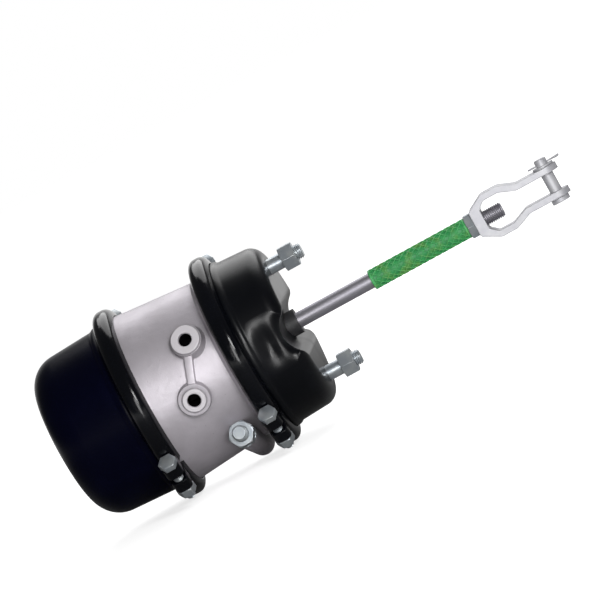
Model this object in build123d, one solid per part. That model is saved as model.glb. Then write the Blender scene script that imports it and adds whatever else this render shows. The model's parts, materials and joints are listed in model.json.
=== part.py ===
from build123d import *
import math
import os

# Spring brake chamber. Millimetres and degrees. The mounting face lies on x = 0 with its centre at the
# origin, +X is the way the push rod comes out, +Z runs along the line of the two studs and the air ports
# face -Y. The chamber is drawn with no air in it: the power spring holds the push rod out.

# Driving dimensions: the chamber as a whole
stroke = 63.5
front_depth = 61.5
case_length = 109.0
rear_depth = 97.0
steel_wall = 3.0

# Driving dimensions: clamp bands and their bolts
clamp_radius = 103.0
clamp_wall = 3.5
clamp_width = 22.0
clamp_slope = 18.0
clamp_depth = 11.0
clamp_rounding = 8.0
clamp_split = 8.0
front_lug_angle = -42.0
rear_lug_angle = -39.0
lug_length = 13.0
lug_width = 18.0
lug_height = 15.0
lug_rounding = 6.0
clamp_bolt_radius = 5.0
clamp_bolt_tail = 8.0
clamp_spanner = 17.0
clamp_head_height = 7.0
clamp_nut_height = 9.0
clamp_bolt_chamfer = 1.0

# Driving dimensions: pressed housings, from the lip under the clamp to the end
housing_step = 3.0
lip_clearance = 2.0
lip_drop = 2.0
lip_shoulder_reach = 3.0
lip_shoulder_rise = 2.0
lip_shoulder_rounding = 6.0
lip_run = 7.0
lip_rounding = 3.0
front_draft = 2.5
front_corner = 15.0
rear_draft = 4.0
rear_corner = 32.0
rear_crown = 3.0
plug_pocket_radius = 24.0
plug_pocket_depth = 4.0
plug_pocket_crease = 1.0
plug_hole_radius = 13.0
plug_barb = 1.0
trough_depth = 13.0
trough_radius = 26.0
trough_shoulder = 15.0
flute_depth = 7.0
flute_half = 33.0
flute_run = 15.0
flute_skin = 0.06
flute_points = 72

# Driving dimensions: cast flange case, its air ports and the drillings behind them
case_wall = 6.5
case_inset = 12.0
case_taper = 7.0
case_bevel = 6.5
case_flare = 4.0
web_thickness = 18.0
service_port_offset = 11.0
service_port_angle = 27.5
service_ring_wall = 7.75
parking_port_angle = -7.5
parking_ring_wall = 4.75
port_radius = 7.25
port_depth = 14.0
port_height = 4.5
port_ring_height = 2.5
port_ring_chamfer = 0.8
port_boss_wall = 8.75
port_skirt_wall = 13.75
port_flare = 16.0
port_rib_width = 10.0
port_rib_drop = 5.0
port_rib_rounding = 3.0
passage_radius = 4.0
passage_depth = 16.0

# Driving dimensions: release bolt kept in its tube on the flange case
release_room = 22.5
release_angle = -75.5
release_sink = 1.0
release_tube_wall = 4.4
release_bolt_radius = 7.8
release_bolt_tail = 9.0
release_bolt_chamfer = 1.5
release_washer_height = 2.5
release_nut_height = 13.0

# Driving dimensions: diaphragms and what moves between them
bead_thickness = 5.0
bead_overlap = 1.0
diaphragm_thickness = 3.4
diaphragm_fold = 4.0
push_plate_room = 17.5
push_plate_margin = 2.0
push_plate_thickness = 5.0
adapter_plate_radius = 28.0
adapter_plate_thickness = 5.0
adapter_rod_radius = 11.0
adapter_flange_radius = 40.0
adapter_flange_thickness = 5.0
adapter_screw_radius = 4.0
adapter_screw_length = 16.0
adapter_hole_spare = 5.0
pressure_plate_room = 18.5
pressure_plate_thickness = 8.0
pressure_rim_height = 8.0
pressure_rim_wall = 3.0
seal_section = 3.5
bush_length = 6.0
bush_wall = 2.5

# Driving dimensions: springs
power_wire = 11.5
power_turns = 4.5
power_taper = 2.0
power_rim_gap = 1.25
return_wire = 4.5
return_turns = 3.25
return_rear_radius = 24.0
return_head_gap = 4.0
return_room = 15.0

# Driving dimensions: mounting studs, M16 and 120.65 apart
stud_inset = 28.675
stud_radius = 8.0
stud_thread_relief = 0.3
stud_neck_step = 0.5
stud_length = 37.0
stud_chamfer = 1.6
stud_head_radius = 13.0
stud_head_height = 8.0
stud_plate_thickness = 4.0
nut_spanner = 24.0
mounting_nut_x = 15.0
mounting_nut_height = 15.0

# Driving dimensions: push rod, yoke and pin
rod_radius = 8.0
rod_overhang = 20.0
rod_chamfer = 1.6
sleeve_start = 83.0
sleeve_wall = 2.35
guide_wall = 4.7
guide_flange = 4.0
lock_nut_height = 8.0
yoke_x = 200.0
yoke_base = 11.0
yoke_length = 86.0
yoke_thickness = 6.5
yoke_gap = 20.0
yoke_belly = 47.0
yoke_belly_start = 7.5
yoke_belly_end = 24.0
yoke_jaw_length = 33.75
yoke_floor = 20.4
yoke_width = 26.0
pin_radius = 6.35
pin_tail = 3.6
pin_chamfer = 1.2
pin_head_radius = 9.5
pin_head_height = 5.0
pin_washer_radius = 11.0
pin_washer_height = 2.0
cotter_radius = 1.6
cotter_eye_wire = 1.45
cotter_leg_radius = 1.1
cotter_spread = 30.0

# Clearances
running_fit = 0.05
thread_fit = 0.15
bolt_fit = 0.25
seat_gap = 0.2
moving_gap = 0.3
stop_gap = 0.5

# Stations along the push rod axis that follow from the sizes above
front_plane = -front_depth
rear_plane = front_plane - case_length
rear_end = rear_plane - rear_depth
trough_floor = -trough_depth - steel_wall
flute_start = front_plane + clamp_width / 2 + lip_run
push_plate_front = trough_floor - return_room
push_plate_back = push_plate_front - push_plate_thickness
adapter_plate_front = push_plate_back - diaphragm_thickness - 2 * moving_gap
adapter_plate_back = adapter_plate_front - adapter_plate_thickness
web_front = adapter_plate_back - stroke - stop_gap
web_back = web_front - web_thickness
web_middle = (web_front + web_back) / 2
adapter_flange_front = web_back - stop_gap
adapter_flange_back = adapter_flange_front - adapter_flange_thickness
pressure_plate_front = adapter_flange_back - diaphragm_thickness - 2 * moving_gap
pressure_plate_back = pressure_plate_front - pressure_plate_thickness
pressure_rim_back = pressure_plate_back - pressure_rim_height
yoke_floor_x = yoke_x + yoke_base
rod_end = yoke_floor_x + rod_overhang
pin_x = yoke_x + yoke_length

# Section of a clamp joint, measured from its own plane: u runs away from the flange case
clamp_tan = math.tan(math.radians(clamp_slope))
clamp_cos = math.cos(math.radians(clamp_slope))
clamp_root = clamp_radius - clamp_depth
clamp_half = clamp_width / 2
clamp_bore = clamp_radius - clamp_wall
clamp_flank = clamp_wall / clamp_cos
lip_radius = clamp_bore - lip_clearance
lip_root = clamp_half - clamp_flank - bolt_fit
lip_tip = lip_root - (lip_radius - clamp_root) * clamp_tan
bead_half = bead_thickness / 2
lug_bolt_radius = clamp_radius + lug_height / 2
lug_outer = clamp_split / 2 + lug_length

# Radii that have to fit inside the clamp bands
housing_radius = clamp_root - housing_step
case_rear_radius = clamp_radius - case_inset
case_front_radius = case_rear_radius - case_taper
cavity_front_radius = case_front_radius - case_wall
cavity_rear_radius = case_rear_radius - case_wall
push_plate_radius = cavity_front_radius - push_plate_room
pressure_plate_radius = cavity_rear_radius - pressure_plate_room
power_front_radius = pressure_plate_radius - pressure_rim_wall - power_rim_gap - power_wire / 2
power_rear_radius = power_front_radius - power_taper
stud_spacing = 2 * (housing_radius - stud_inset)
stud_thread_radius = stud_radius - stud_thread_relief
stud_neck_radius = stud_radius + stud_neck_step
return_front_radius = stud_spacing / 2 - stud_head_radius - return_head_gap - return_wire / 2

# Air ports and the release bolt's tube, which follow the outer wall of the flange case
service_port_x = web_front + service_port_offset
parking_port_x = web_middle
port_reach = case_rear_radius + port_height
port_root = case_front_radius - case_wall / 2
wall_start = rear_plane + clamp_half + stop_gap
wall_end = front_plane - clamp_half - case_flare
wall_slope = -case_taper / (wall_end - wall_start)
release_x = front_plane - clamp_half - release_room
release_offset = case_front_radius - release_sink
release_tube_radius = release_bolt_radius + moving_gap + release_tube_wall
wall_beside = case_rear_radius + (release_x - release_tube_radius - wall_start) * wall_slope
release_tube_half = stop_gap + math.sqrt(wall_beside**2 - (release_offset - release_tube_radius) ** 2)

# Rod, guide, yoke and pin sizes that follow from the rod and the jaw
sleeve_radius = rod_radius + thread_fit + sleeve_wall
guide_radius = rod_radius + moving_gap + guide_wall
jaw_outer = yoke_gap / 2 + yoke_thickness
washer_low = jaw_outer + seat_gap
cotter_height = washer_low + pin_washer_height + moving_gap + cotter_radius
pin_top = cotter_height + cotter_radius + pin_tail


def direction(angle):
    """Unit vector across the axis, at an angle above -Y."""
    return Vector(0, -math.cos(math.radians(angle)), math.sin(math.radians(angle)))


def tangent(angle):
    """Unit vector along the rim, the way the angle above -Y grows."""
    return Vector(0, math.sin(math.radians(angle)), math.cos(math.radians(angle)))


def turned(outline):
    """Solid turned about the push rod axis from a closed (axial, radius) outline."""
    return revolve(make_face(outline), Axis.X)


def ring(start, end, outer, inner=0.0):
    """Plain disc or ring about the push rod axis."""
    points = [(start, inner), (start, outer), (end, outer), (end, inner)]
    return turned(Polyline(*points, close=True))


def parallel(points, depth):
    """Open outline parallel to another, the given depth to its right, with mitred corners."""
    steps = [Vector(*b) - Vector(*a) for a, b in zip(points, points[1:])]
    ways = [step.normalized() for step in steps]
    moved = []
    for point, before, after in zip(points, ways[:1] + ways, ways + ways[-1:]):
        share = depth / (1 + before.dot(after))
        moved.append((point[0] + share * (before.Y + after.Y), point[1] - share * (before.X + after.X)))
    return moved


def below(points, rounds, depth):
    """Solid filling everything from the axis up to a sheet outline moved inwards by depth."""
    path = parallel(points, depth)
    radii = []
    for before, corner, after, radius in zip(points, points[1:], points[2:], rounds):
        first = Vector(*corner) - Vector(*before)
        second = Vector(*after) - Vector(*corner)
        turn = first.X * second.Y - first.Y * second.X
        radii.append(radius + math.copysign(depth, turn))
    curve = FilletPolyline(*path, radius=radii)
    closing = Polyline(path[-1], (path[0][0], 0), path[0])
    return turned(curve + closing)


def placed(points, plane, way):
    """Joint section points turned into (axial, radius) points."""
    return [(plane + way * u, radius) for u, radius in points]


def hexagon(spanner, height):
    """Hexagon bar along Z from z = 0, with both ends chamfered to the round."""
    bar = extrude(RegularPolygon(spanner / 2, 6, major_radius=False), height)
    corner = spanner / math.sqrt(3)
    cut = corner - spanner / 2
    points = [(0, 0), (spanner / 2, 0), (corner, cut / 2), (corner, height - cut / 2), (spanner / 2, height)]
    outline = Polyline(*points, (0, height), close=True)
    return bar & revolve(Plane.XZ * make_face(outline), Axis.Z)


def nut(spanner, height, bore):
    """Hexagon nut along Z from z = 0."""
    return hexagon(spanner, height) - Pos(0, 0, height / 2) * Cylinder(bore, 2 * height)


def along_x(x, y=0.0, z=0.0):
    """Place whose own Z runs along the push rod."""
    return Plane((x, y, z), x_dir=(0, 1, 0), z_dir=(1, 0, 0)).location


def pressed(points, rounds, depth):
    """Form of a pressed housing drawn along +X from its joint: the lip under the clamp band, the shoulder
    beside it, then the given points."""
    bend = (lip_root + lip_drop * clamp_tan, clamp_root - lip_drop)
    shoulder = (clamp_half + lip_shoulder_reach, bend[1] + lip_shoulder_rise)
    path = [(lip_tip, lip_radius), bend, shoulder, (clamp_half + lip_run, housing_radius)] + points
    return below(path, [steel_wall, lip_shoulder_rounding, lip_rounding] + rounds, depth)


def trough_half():
    """Half width of the trough where it meets the mounting face."""
    return math.sqrt(2 * (trough_radius + trough_shoulder) * trough_depth - trough_depth**2)


def trough(depth):
    """Cutter for the rounded trough across the mounting face, grown by depth for the inner side."""
    total = trough_radius + trough_shoulder
    half = trough_half()
    share = (trough_radius + depth) / total
    touch = (half * share, trough_radius - trough_depth - (total - trough_depth) * share)
    face = (half, -depth)
    mouth = (half, front_corner)
    mirrored = [(-z, x) for z, x in (mouth, face, touch)]
    floor = (0, -trough_depth - depth)
    lines = Polyline(face, mouth, mirrored[0], mirrored[1])
    lines += RadiusArc(mirrored[1], mirrored[2], trough_shoulder - depth)
    lines += ThreePointArc(mirrored[2], floor, touch)
    lines += RadiusArc(touch, face, trough_shoulder - depth)
    section = Plane((0, 0, 0), x_dir=(0, 0, 1), z_dir=(0, 1, 0)) * make_face(lines)
    return extrude(section, 2 * housing_radius, both=True)


def fluted_outline(x, depth):
    """Section of the front housing's wall at a station with both flutes pressed in, moved inwards by depth.
    A thin skin lifts it off the wall between the flutes, so that only the flutes are cut."""
    share = min(1.0, (x - flute_start) / flute_run)
    sunk = flute_depth * share**2 * (3 - 2 * share)
    radius = housing_radius - front_draft * (1 - x / flute_start) + flute_skin - depth
    points = []
    for count in range(flute_points):
        angle = 2 * math.pi * count / flute_points
        away = math.asin(abs(math.sin(angle))) * housing_radius
        reach = radius - sunk * math.cos(min(1.0, away / flute_half) * math.pi / 2) ** 2
        points.append((reach * math.cos(angle), reach * math.sin(angle)))
    return along_x(x) * make_face(Spline(*points, periodic=True))


def flutes(depth):
    """Cutter for the flute on each side of the front housing, which runs out beside the clamp band."""
    full = flute_start + flute_run
    stations = [flute_start, flute_start + flute_run / 4, flute_start + flute_run / 2]
    stations += [full - flute_run / 4, full, full / 2, steel_wall]
    kept = loft([fluted_outline(x, depth) for x in stations])
    return ring(flute_start, steel_wall, 2 * housing_radius) - kept


def front_form(depth):
    """Everything inside the front housing's sheet, moved inwards by depth."""
    corner = (front_depth, housing_radius - front_draft)
    form = pressed([corner, (front_depth, 0)], [front_corner], depth)
    return Pos(front_plane, 0, 0) * form


def front_housing():
    """Pressed bowl with the mounting face: the trough across it, a flute on each side and the stud holes."""
    inner = front_form(steel_wall) - flutes(steel_wall) - trough(steel_wall)
    shell = front_form(0) - flutes(0) - trough(0) - inner
    shell -= along_x(trough_floor) * Cylinder(guide_radius + thread_fit, 4 * trough_depth)
    for y, z in stud_points():
        shell -= along_x(-steel_wall, y, z) * Cylinder(stud_neck_radius + thread_fit, 4 * steel_wall)
    return shell


def spring_housing():
    """Pressed bowl round the power spring, with a pocket and the release hole in the middle of its end."""
    pocket = rear_depth - plug_pocket_depth
    points = [(rear_depth - rear_crown, housing_radius - rear_draft)]
    points += [(rear_depth, plug_pocket_radius + plug_pocket_depth)]
    points += [(pocket, plug_pocket_radius), (pocket, 0)]
    crease = steel_wall + plug_pocket_crease
    rounds = [rear_corner, crease, crease]
    shell = pressed(points, rounds, 0) - pressed(points, rounds, steel_wall)
    shell -= along_x(rear_depth) * Cylinder(plug_hole_radius, 6 * plug_pocket_depth)
    return Pos(rear_plane, 0, 0) * mirror(shell, Plane.YZ)


def dust_plug():
    """Rubber plug in the release hole, headed inside the pocket of the spring housing's end."""
    seat = rear_end + plug_pocket_depth
    inside = seat + steel_wall
    head = ring(rear_end + stop_gap, seat, plug_pocket_radius - plug_pocket_depth)
    neck = ring(seat, inside, plug_hole_radius - thread_fit)
    barb = ring(inside, inside + steel_wall, plug_hole_radius + plug_barb)
    return head + neck + barb - ring(inside, inside + steel_wall, plug_hole_radius - steel_wall)


def clamp_section():
    """Section of the clamp band, with a rounded crest and flanks that wedge the lips together."""
    crest = clamp_half - clamp_depth * clamp_tan
    outside = [(-clamp_half, clamp_root), (-crest, clamp_radius)]
    outside += [(crest, clamp_radius), (clamp_half, clamp_root)]
    inside = parallel(outside, clamp_wall)
    inside[0] = (-clamp_half + clamp_flank, clamp_root)
    inside[-1] = (clamp_half - clamp_flank, clamp_root)
    over = FilletPolyline(*outside, radius=clamp_rounding)
    under = FilletPolyline(*inside, radius=clamp_rounding - clamp_wall)
    return make_face(over + under + Line(outside[0], inside[0]) + Line(outside[-1], inside[-1]))


def clamp_lug():
    """Bolt lug at one end of a clamp half, standing on the band at +Y, on the +Z side of the split."""
    foot = clamp_bore + stop_gap
    top = clamp_radius + lug_height
    half = lug_width / 2
    corners = [(-half, foot), (-half, top), (half, top), (half, foot)]
    plate = make_face(FilletPolyline(*corners, radius=[0, lug_rounding, lug_rounding, 0], close=True))
    block = extrude(plate, lug_length)
    block -= Pos(0, lug_bolt_radius, lug_length / 2) * Cylinder(clamp_bolt_radius + bolt_fit, 2 * lug_length)
    return Pos(0, 0, clamp_split / 2) * block


def clamp_half_band(plane, angle, side):
    """One half of a clamp band with its two lugs; side 0 lies above the split and side 1 below it."""
    trim = math.degrees(math.asin(clamp_split / 2 / clamp_root))
    band = Rot(trim, 0, 0) * revolve(clamp_section(), Axis.X, 180 - 2 * trim)
    lug = clamp_lug()
    half = band + lug + mirror(lug, Plane.XZ)
    return Pos(plane, 0, 0) * Rot(-angle + 180 * side, 0, 0) * half


def at_lugs(plane, angle, shape):
    """The same fastener at both lug pairs of a clamp band, drawn along Z, one pair's turned end for end."""
    near = Rot(180, 0, 0) * Pos(0, lug_bolt_radius, 0) * shape
    far = Pos(0, lug_bolt_radius, 0) * Rot(180, 0, 0) * shape
    return [Pos(plane, 0, 0) * Rot(-angle, 0, 0) * one for one in (near, far)]


def clamp_bolt():
    """Clamp bolt along Z with its head below the lug pair."""
    length = 2 * lug_outer + clamp_nut_height + clamp_bolt_tail
    shank = Pos(0, 0, length / 2 - lug_outer) * Cylinder(clamp_bolt_radius, length)
    head = Pos(0, 0, -lug_outer - clamp_head_height) * hexagon(clamp_spanner, clamp_head_height)
    return head + chamfer(shank.edges().sort_by(Axis.Z)[-1], clamp_bolt_chamfer)


def clamp_nut():
    """Nut of a clamp bolt, above the lug pair."""
    return Pos(0, 0, lug_outer) * nut(clamp_spanner, clamp_nut_height, clamp_bolt_radius + thread_fit)


def port_place(x, angle, reach):
    """Place on a port's axis, its Z pointing out of the port."""
    return Plane(Vector(x, 0, 0) + direction(angle) * reach, x_dir=(1, 0, 0), z_dir=direction(angle)).location


def standing(place, radius, depth):
    """Cylinder that ends at a place and goes down into the part along -Z."""
    return place * Pos(0, 0, -depth / 2) * Cylinder(radius, depth)


def release_place(along):
    """Place on the axis of the release bolt's tube, its Z pointing at the nut's end."""
    foot = Vector(release_x, 0, 0) + direction(release_angle) * release_offset
    point = foot + tangent(release_angle) * along
    return Plane(point, x_dir=(1, 0, 0), z_dir=tangent(release_angle)).location


def case_body():
    """Turned blank of the flange case: a lip at each end, the outer wall, the web and both cavities."""
    foot = clamp_root - 2 * bolt_fit
    groove = lip_root + (clamp_root - foot) * clamp_tan
    rear = [(bead_half, lip_radius), (lip_tip, lip_radius), (groove, foot)]
    front = [(groove, foot), (lip_tip, lip_radius), (bead_half, lip_radius)]
    front += [(bead_half, cavity_front_radius + case_bevel / 2), (clamp_half, cavity_front_radius)]
    outline = placed(rear, rear_plane, 1) + [(wall_start, case_rear_radius), (wall_end, case_front_radius)]
    outline += placed(front, front_plane, -1)
    outline += [(web_front + case_bevel, cavity_front_radius)]
    outline += [(web_front, cavity_front_radius - 2 * case_bevel), (web_front, 0)]
    outline += [(web_back, 0), (web_back, cavity_rear_radius - 2 * case_bevel)]
    outline += [(web_back - case_bevel, cavity_rear_radius - case_bevel)]
    outline += placed([(clamp_half, cavity_rear_radius), (bead_half, cavity_rear_radius)], rear_plane, 1)
    return turned(Polyline(*outline, close=True))


def port_boss(ring_wall):
    """Boss of an air port along Z, its face on z = 0: a flat ring on a shoulder that flares into the wall."""
    rim = port_radius + ring_wall
    shoulder = (port_radius + port_boss_wall, -port_ring_height)
    foot = port_root - port_reach
    skirt = (port_radius + port_skirt_wall, foot)
    points = [skirt, (0, foot), (0, 0), (rim - port_ring_chamfer, 0), (rim, -port_ring_chamfer)]
    outline = Polyline(*points, (rim, -port_ring_height), shoulder) + RadiusArc(shoulder, skirt, -port_flare)
    return revolve(Plane.XZ * make_face(outline), Axis.Z)


def port_rib(ports):
    """Rib with rounded edges that joins the two port bosses."""
    reach = port_reach - port_rib_drop
    ends = [Vector(x, 0, 0) + direction(angle) * reach for x, angle in ports]
    middle = (ends[0] + ends[1]) / 2
    outward = Vector(0, middle.Y, middle.Z).normalized()
    along = ends[1] - ends[0]
    bar = Box(along.length, port_rib_width, reach - port_root, align=(Align.CENTER, Align.CENTER, Align.MAX))
    bar = fillet(bar.edges().filter_by(Axis.X).group_by(Axis.Z)[-1], port_rib_rounding)
    return Plane(middle, x_dir=along, z_dir=outward).location * bar


def flange_case():
    """Cast middle of the chamber: bosses, rib and release tube grown on the blank, then the drillings."""
    ports = [(service_port_x, service_port_angle), (parking_port_x, parking_port_angle)]
    service, parking = [port_place(x, angle, port_reach) for x, angle in ports]
    case = case_body() + port_rib(ports)
    case += service * port_boss(service_ring_wall)
    case += parking * port_boss(parking_ring_wall)
    case += release_place(0) * Cylinder(release_tube_radius, 2 * release_tube_half)
    case -= release_place(0) * Cylinder(release_bolt_radius + moving_gap, 3 * release_tube_half)
    case -= standing(service, port_radius, port_depth)
    case -= standing(parking, port_radius, port_depth)
    case -= standing(service, passage_radius, port_reach - cavity_front_radius + 2 * case_bevel)
    bend = case_rear_radius - passage_depth
    case -= standing(parking, passage_radius, port_reach - bend)
    turn = Vector(parking_port_x, 0, 0) + direction(parking_port_angle) * bend
    length = parking_port_x - web_back + 2 * case_bevel
    case -= along_x(turn.X - length / 2, turn.Y, turn.Z) * Cylinder(passage_radius, length)
    case -= ring(web_back, web_front, adapter_rod_radius + moving_gap)
    half_bush = bush_length / 2
    case -= ring(web_middle - half_bush, web_middle + half_bush, adapter_rod_radius + running_fit + bush_wall)
    half_seal = seal_section / 2 + seat_gap
    for centre in seal_stations():
        case -= ring(centre - half_seal, centre + half_seal, adapter_rod_radius + seal_section + 2 * seat_gap)
    return case


def seal_stations():
    """Middles of the two rod seals, one each side of the bush."""
    away = (web_thickness + bush_length) / 4
    return [web_middle - away, web_middle + away]


def rod_bush():
    """Plain bush in the web that guides the adapter rod."""
    bore = adapter_rod_radius + running_fit
    return ring(web_middle - bush_length / 2, web_middle + bush_length / 2, bore + bush_wall, bore)


def rod_seals():
    """Rings that seal the adapter rod on both sides of the bush."""
    major = adapter_rod_radius + seat_gap + seal_section / 2
    return [along_x(x) * Torus(major, seal_section / 2) for x in seal_stations()]


def diaphragm(plane, way, middle, flat_radius, neck):
    """Moulded rubber sheet: a wedge bead under the clamp, a rolling wall and a flat middle at rest."""
    tip = lip_tip - steel_wall / clamp_cos - seat_gap
    foot = case_rear_radius - case_wall / 2
    root = tip + (lip_radius - foot) * clamp_tan
    bead = [(-bead_half, lip_radius), (tip, lip_radius), (root, foot), (-bead_half, foot)]
    body = turned(Polyline(*placed(bead, plane, way), close=True))
    inner = plane + way * (root - bead_half) / 2
    fold = middle - (middle - inner) / 4
    path = [(inner, foot + bead_overlap), (inner, neck), (fold, flat_radius + diaphragm_fold)]
    path += [(middle, flat_radius), (middle, 0)]
    side = parallel(path, diaphragm_thickness / 2)
    other = parallel(path, -diaphragm_thickness / 2)
    return body + turned(Polyline(*side, *reversed(other), close=True))


def service_diaphragm():
    """Diaphragm in the front joint, between the push plate and the adapter plate."""
    middle = (push_plate_back + adapter_plate_front) / 2
    return diaphragm(front_plane, 1, middle, push_plate_radius - push_plate_margin, cavity_front_radius)


def emergency_diaphragm():
    """Diaphragm in the rear joint, between the pressure plate and the adapter rod's foot."""
    middle = (pressure_plate_front + adapter_flange_back) / 2
    flat = pressure_plate_radius + diaphragm_thickness
    return diaphragm(rear_plane, -1, middle, flat, cavity_rear_radius - case_bevel)


def spring(wire, turns, start, end, first, last):
    """Conical coil along the axis from start to end, clear of its seats, from radius first to radius last."""
    height = end - start - wire - 2 * moving_gap
    cone = math.degrees(math.atan((last - first) / height))
    path = Helix(height / turns, height, first, (start + wire / 2 + moving_gap, 0, 0), (1, 0, 0), cone)
    return sweep(Plane(path @ 0, z_dir=path % 0) * Circle(wire / 2), path, is_frenet=True)


def power_spring():
    """Coil that puts the parking brake on, from the crowned end of its housing to the pressure plate."""
    rise = (power_rear_radius - plug_pocket_radius) / (housing_radius - plug_pocket_radius) * rear_crown
    seat = rear_end + steel_wall + rise
    return spring(power_wire, power_turns, seat, pressure_plate_back, power_rear_radius, power_front_radius)


def service_return_spring():
    """Conical coil from the push plate to the inside of the mounting face."""
    radii = (return_rear_radius, return_front_radius)
    return spring(return_wire, return_turns, push_plate_front, trough_floor, *radii)


def stud_points():
    """Stud centres on the mounting face."""
    return [(0, -stud_spacing / 2), (0, stud_spacing / 2)]


def mounting_studs():
    """Headed studs: neck in the housing wall, plain shank at the joint, then the thread."""
    inside = -steel_wall - stud_plate_thickness
    stud = ring(inside - stud_head_height, inside, stud_head_radius) + ring(inside, 0, stud_neck_radius)
    stud += ring(0, mounting_nut_x, stud_radius)
    thread = ring(mounting_nut_x, stud_length, stud_thread_radius)
    stud += chamfer(thread.edges().sort_by(Axis.X)[-1], stud_chamfer)
    return [Pos(0, y, z) * stud for y, z in stud_points()]


def mounting_nuts():
    """Nuts on the studs, a bracket's thickness away from the mounting face."""
    one = nut(nut_spanner, mounting_nut_height, stud_thread_radius + thread_fit)
    return [along_x(mounting_nut_x, y, z) * one for y, z in stud_points()]


def stud_plates():
    """Backing plates under the stud heads, one each side of the trough."""
    radius = housing_radius - front_draft - front_corner
    disc = ring(-steel_wall - stud_plate_thickness, -steel_wall, radius)
    disc -= Box(4 * front_corner, 2 * radius, 2 * (trough_half() + 2 * moving_gap))
    for y, z in stud_points():
        disc -= along_x(0, y, z) * Cylinder(stud_neck_radius + thread_fit, 4 * front_corner)
    return list(disc.solids())


def rod_guide():
    """Bush that guides the push rod in the mounting face, flanged on the inside."""
    flange = guide_radius + guide_flange
    guide = ring(trough_floor - guide_flange, trough_floor - moving_gap, flange)
    guide += ring(trough_floor - moving_gap, 0, guide_radius)
    return guide - ring(trough_floor - guide_flange, 0, rod_radius + moving_gap)


def release_bolt():
    """Bolt kept in the tube of the flange case, for caging the power spring by hand."""
    length = 2 * release_tube_half + release_washer_height + release_nut_height + release_bolt_tail
    bolt = Cylinder(release_bolt_radius, length)
    bolt = chamfer(bolt.edges().sort_by(Axis.Z)[-1], release_bolt_chamfer)
    return release_place(length / 2 - release_tube_half) * bolt


def release_washer():
    """Washer between the release tube and the release nut."""
    washer = Cylinder(release_tube_radius, release_washer_height)
    washer -= Cylinder(release_bolt_radius + bolt_fit, 2 * release_washer_height)
    return release_place(release_tube_half + release_washer_height / 2) * washer


def release_nut():
    """Nut that keeps the release bolt in its tube."""
    body = nut(nut_spanner, release_nut_height, release_bolt_radius + thread_fit)
    return release_place(release_tube_half + release_washer_height) * body


def pressure_plate():
    """Dished plate that the power spring presses, with a rim round the spring and the release socket."""
    plate = ring(pressure_plate_back, pressure_plate_front, pressure_plate_radius)
    rim_bore = pressure_plate_radius - pressure_rim_wall
    plate += ring(pressure_rim_back, pressure_plate_back, pressure_plate_radius, rim_bore)
    plate += ring(pressure_rim_back, pressure_plate_back, plug_hole_radius + pressure_rim_wall)
    socket = 2 * release_bolt_radius + stop_gap
    return plate - Pos(pressure_rim_back, 0, 0) * Box(2 * pressure_rim_height, socket / 2, socket)


def adapter_rod():
    """Rod through the web with its round foot on the emergency diaphragm."""
    rod = ring(adapter_flange_back, adapter_flange_front, adapter_flange_radius)
    rod += ring(adapter_flange_front, adapter_plate_back, adapter_rod_radius)
    bottom = adapter_plate_back - adapter_screw_length - adapter_hole_spare
    return rod - ring(bottom, adapter_plate_back, adapter_screw_radius + thread_fit)


def adapter_plate():
    """Round plate screwed on the adapter rod, which pushes the service diaphragm."""
    plate = ring(adapter_plate_back, adapter_plate_front, adapter_plate_radius)
    return plate - screw_form(thread_fit)


def screw_form(gap):
    """Countersunk screw that holds the adapter plate, grown by gap for its hole."""
    radius = adapter_screw_radius + gap
    tip = adapter_plate_back - adapter_screw_length
    head = adapter_plate_front - adapter_screw_radius
    points = [(tip, 0), (tip, radius), (head, radius)]
    points += [(adapter_plate_front, radius + adapter_screw_radius), (adapter_plate_front, 0)]
    return turned(Polyline(*points, close=True))


def push_plate():
    """Pressed plate on the service diaphragm, with a rolled rim and the hub that the rod is riveted in."""
    hub = return_rear_radius - return_wire
    plate = ring(push_plate_back, push_plate_front, push_plate_radius)
    plate = fillet(plate.edges().group_by(Axis.X)[0], push_plate_thickness / 2)
    plate += ring(push_plate_front, push_plate_front + push_plate_thickness, hub)
    return plate - ring(push_plate_back, push_plate_front + push_plate_thickness, rod_radius)


def push_rod():
    """Plain rod from the push plate to inside the yoke."""
    rod = ring(push_plate_back, rod_end, rod_radius)
    return chamfer(rod.edges().sort_by(Axis.X)[-1], rod_chamfer)


def rod_sleeve():
    """Mesh sleeve over the outer end of the rod, up to the lock nut."""
    return ring(sleeve_start, yoke_x - lock_nut_height, sleeve_radius, rod_radius + thread_fit)


def lock_nut():
    """Nut that locks the yoke on the rod's thread."""
    return along_x(yoke_x - lock_nut_height) * nut(nut_spanner, lock_nut_height, rod_radius + thread_fit)


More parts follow.
